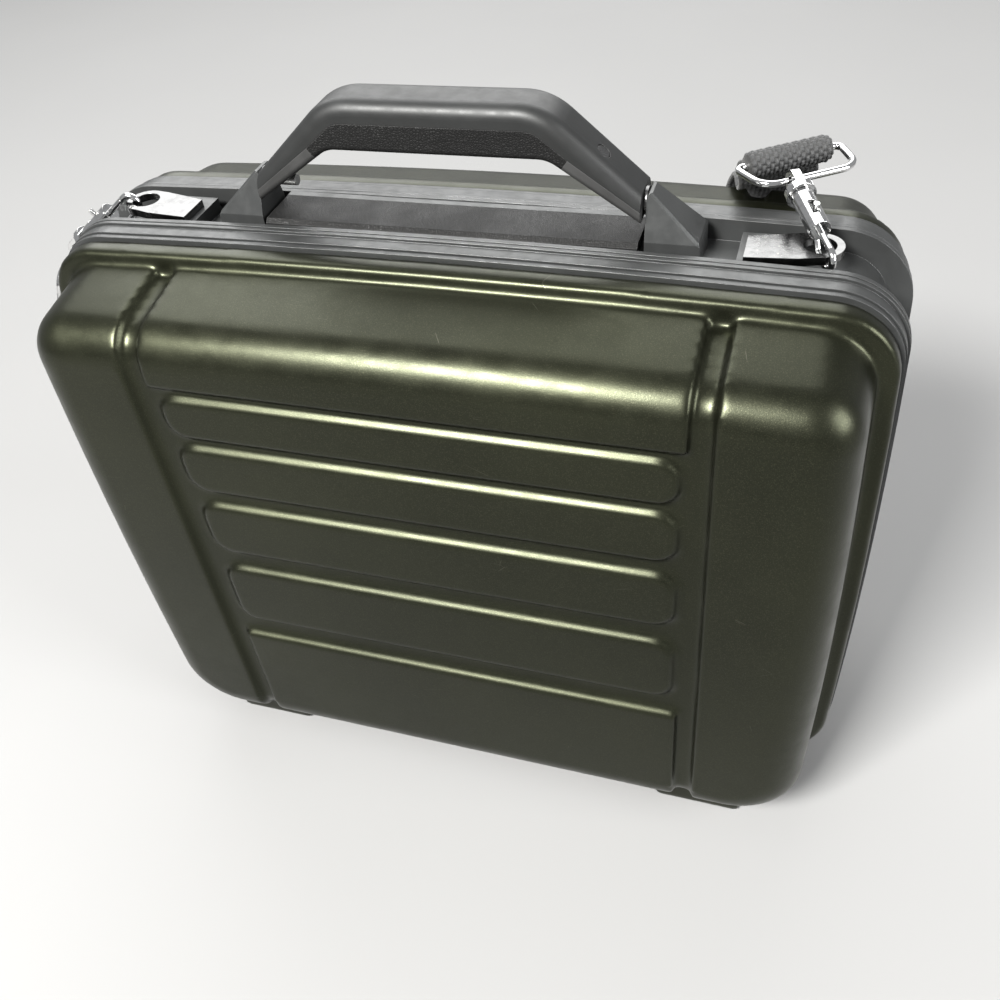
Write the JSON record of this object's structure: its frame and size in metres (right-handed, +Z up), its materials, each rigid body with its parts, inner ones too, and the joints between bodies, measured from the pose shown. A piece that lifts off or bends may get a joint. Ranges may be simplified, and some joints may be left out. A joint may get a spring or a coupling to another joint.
{
  "type": "camcorder case",
  "caption": "Hard two-shell camcorder case with stepped frames, ribbed faces, a folding handle, a long top latch and snap hooks that carry a webbing strap.",
  "frame": {"origin": "on the ground, under the middle of the case between its four feet", "axes": "+X along the case to its right end, -Y out of the lid, +Z up towards the handle"},
  "size_m": [0.4252, 0.2289, 0.3785],
  "materials": {
    "shell": "satin, metallic olive, fine grain",
    "frame": "satin dark grey with a metallic tone",
    "lever": "leather grain",
    "grip": "leather grain",
    "trim": "matte black",
    "seal": "matte",
    "foam": "soft grey foam",
    "chrome": "bright",
    "steel": "satin",
    "webbing": "coarse woven"
  },
  "bodies": {
    "case": {"base_shell": "shell", "base_frame": "frame", "rim_seal": "seal", "base_foam": "foam", "hinge_leaves_base": "steel", "hinge_pins": "steel", "latch_brackets": "steel", "latch_pin": "steel", "latch_rail": "frame", "latch_spring": "steel", "handle_pins": "steel", "handle_washers": "steel", "handle_post_left": "frame", "handle_post_right": "frame", "lug_left": "chrome", "lug_right": "chrome", "lug_screws": "chrome", "shoulder_strap": "webbing", "strap_adjuster": "trim"},
    "lid": {"lid_shell": "shell", "lid_frame": "frame", "lid_foam": "foam", "hinge_leaves_lid": "steel", "latch_keepers": "steel"},
    "handle": {"handle_body": "frame", "handle_grip": "grip", "handle_cover_left": "trim", "handle_cover_right": "trim", "handle_screws": "steel"},
    "latch": {"latch_lever": "lever"},
    "hook_left": {"hook_body_left": "chrome", "hook_spring_left": "steel"},
    "gate_left": {"hook_gate_left": "chrome"},
    "swivel_left": {"hook_swivel_left": "chrome"},
    "ring_left": {"d_ring_left": "chrome", "strap_loop_left": "webbing"},
    "hook_right": {"hook_body_right": "chrome", "hook_spring_right": "steel"},
    "gate_right": {"hook_gate_right": "chrome"},
    "swivel_right": {"hook_swivel_right": "chrome"},
    "ring_right": {"d_ring_right": "chrome", "strap_loop_right": "webbing"}
  },
  "joints": [
    {"name": "lid_hinge", "type": "hinge", "parent": "case", "child": "lid", "pos_m": [0, -0.0164, 0.011], "axis": [1, 0, 0], "range_deg": [0, 110]},
    {"name": "handle_fold", "type": "hinge", "parent": "case", "child": "handle", "pos_m": [0, 0, 0.336], "axis": [1, 0, 0], "range_deg": [-73, 73]},
    {"name": "latch_lift", "type": "hinge", "parent": "case", "child": "latch", "pos_m": [0, 0.0085, 0.3168], "axis": [-1, 0, 0], "range_deg": [0, 7.5], "stiffness_Nm_per_rad": 0.15, "springref_deg": -20.05},
    {"name": "hook_swing_left", "type": "hinge", "parent": "case", "child": "hook_left", "pos_m": [-0.17, -0.003, 0.3192], "axis": [-0.1648, 0.9863, 0], "range_deg": [0, 45], "deforming": ["shoulder_strap"]},
    {"name": "gate_slide_left", "type": "slide", "parent": "hook_left", "child": "gate_left", "axis": [-0.7778, -0.13, -0.6149], "range_m": [0, 0.004], "stiffness_N_per_m": 250, "springref_m": -0.004, "deforming": ["hook_spring_left"]},
    {"name": "swivel_turn_left", "type": "hinge", "parent": "hook_left", "child": "swivel_left", "pos_m": [-0.17273, -0.00346, 0.32275], "axis": [-0.7778, -0.13, -0.6149], "range_deg": [-8, 12], "deforming": ["shoulder_strap"]},
    {"name": "ring_swing_left", "type": "hinge", "parent": "swivel_left", "child": "ring_left", "pos_m": [-0.20758, -0.00928, 0.2952], "axis": [-0.0733, 0.9917, 0.1059], "range_deg": [-8, 25], "deforming": ["shoulder_strap"]},
    {"name": "hook_swing_right", "type": "hinge", "parent": "case", "child": "hook_right", "pos_m": [0.1654, -0.0084, 0.3192], "axis": [0.8985, 0.439, 0], "range_deg": [0, 45], "deforming": ["shoulder_strap"]},
    {"name": "gate_slide_right", "type": "slide", "parent": "hook_right", "child": "gate_right", "axis": [-0.4288, 0.8776, 0.2144], "range_m": [0, 0.004], "stiffness_N_per_m": 250, "springref_m": -0.004, "deforming": ["hook_spring_right"]},
    {"name": "swivel_turn_right", "type": "hinge", "parent": "hook_right", "child": "swivel_right", "pos_m": [0.16582, -0.00927, 0.3236], "axis": [-0.4288, 0.8776, 0.2144], "range_deg": [-12, 12], "deforming": ["shoulder_strap"]},
    {"name": "ring_swing_right", "type": "hinge", "parent": "swivel_right", "child": "ring_right", "pos_m": [0.14661, 0.03005, 0.3332], "axis": [0.829, 0.5592, 0], "range_deg": [-10, 30], "deforming": ["shoulder_strap"]}
  ]
}
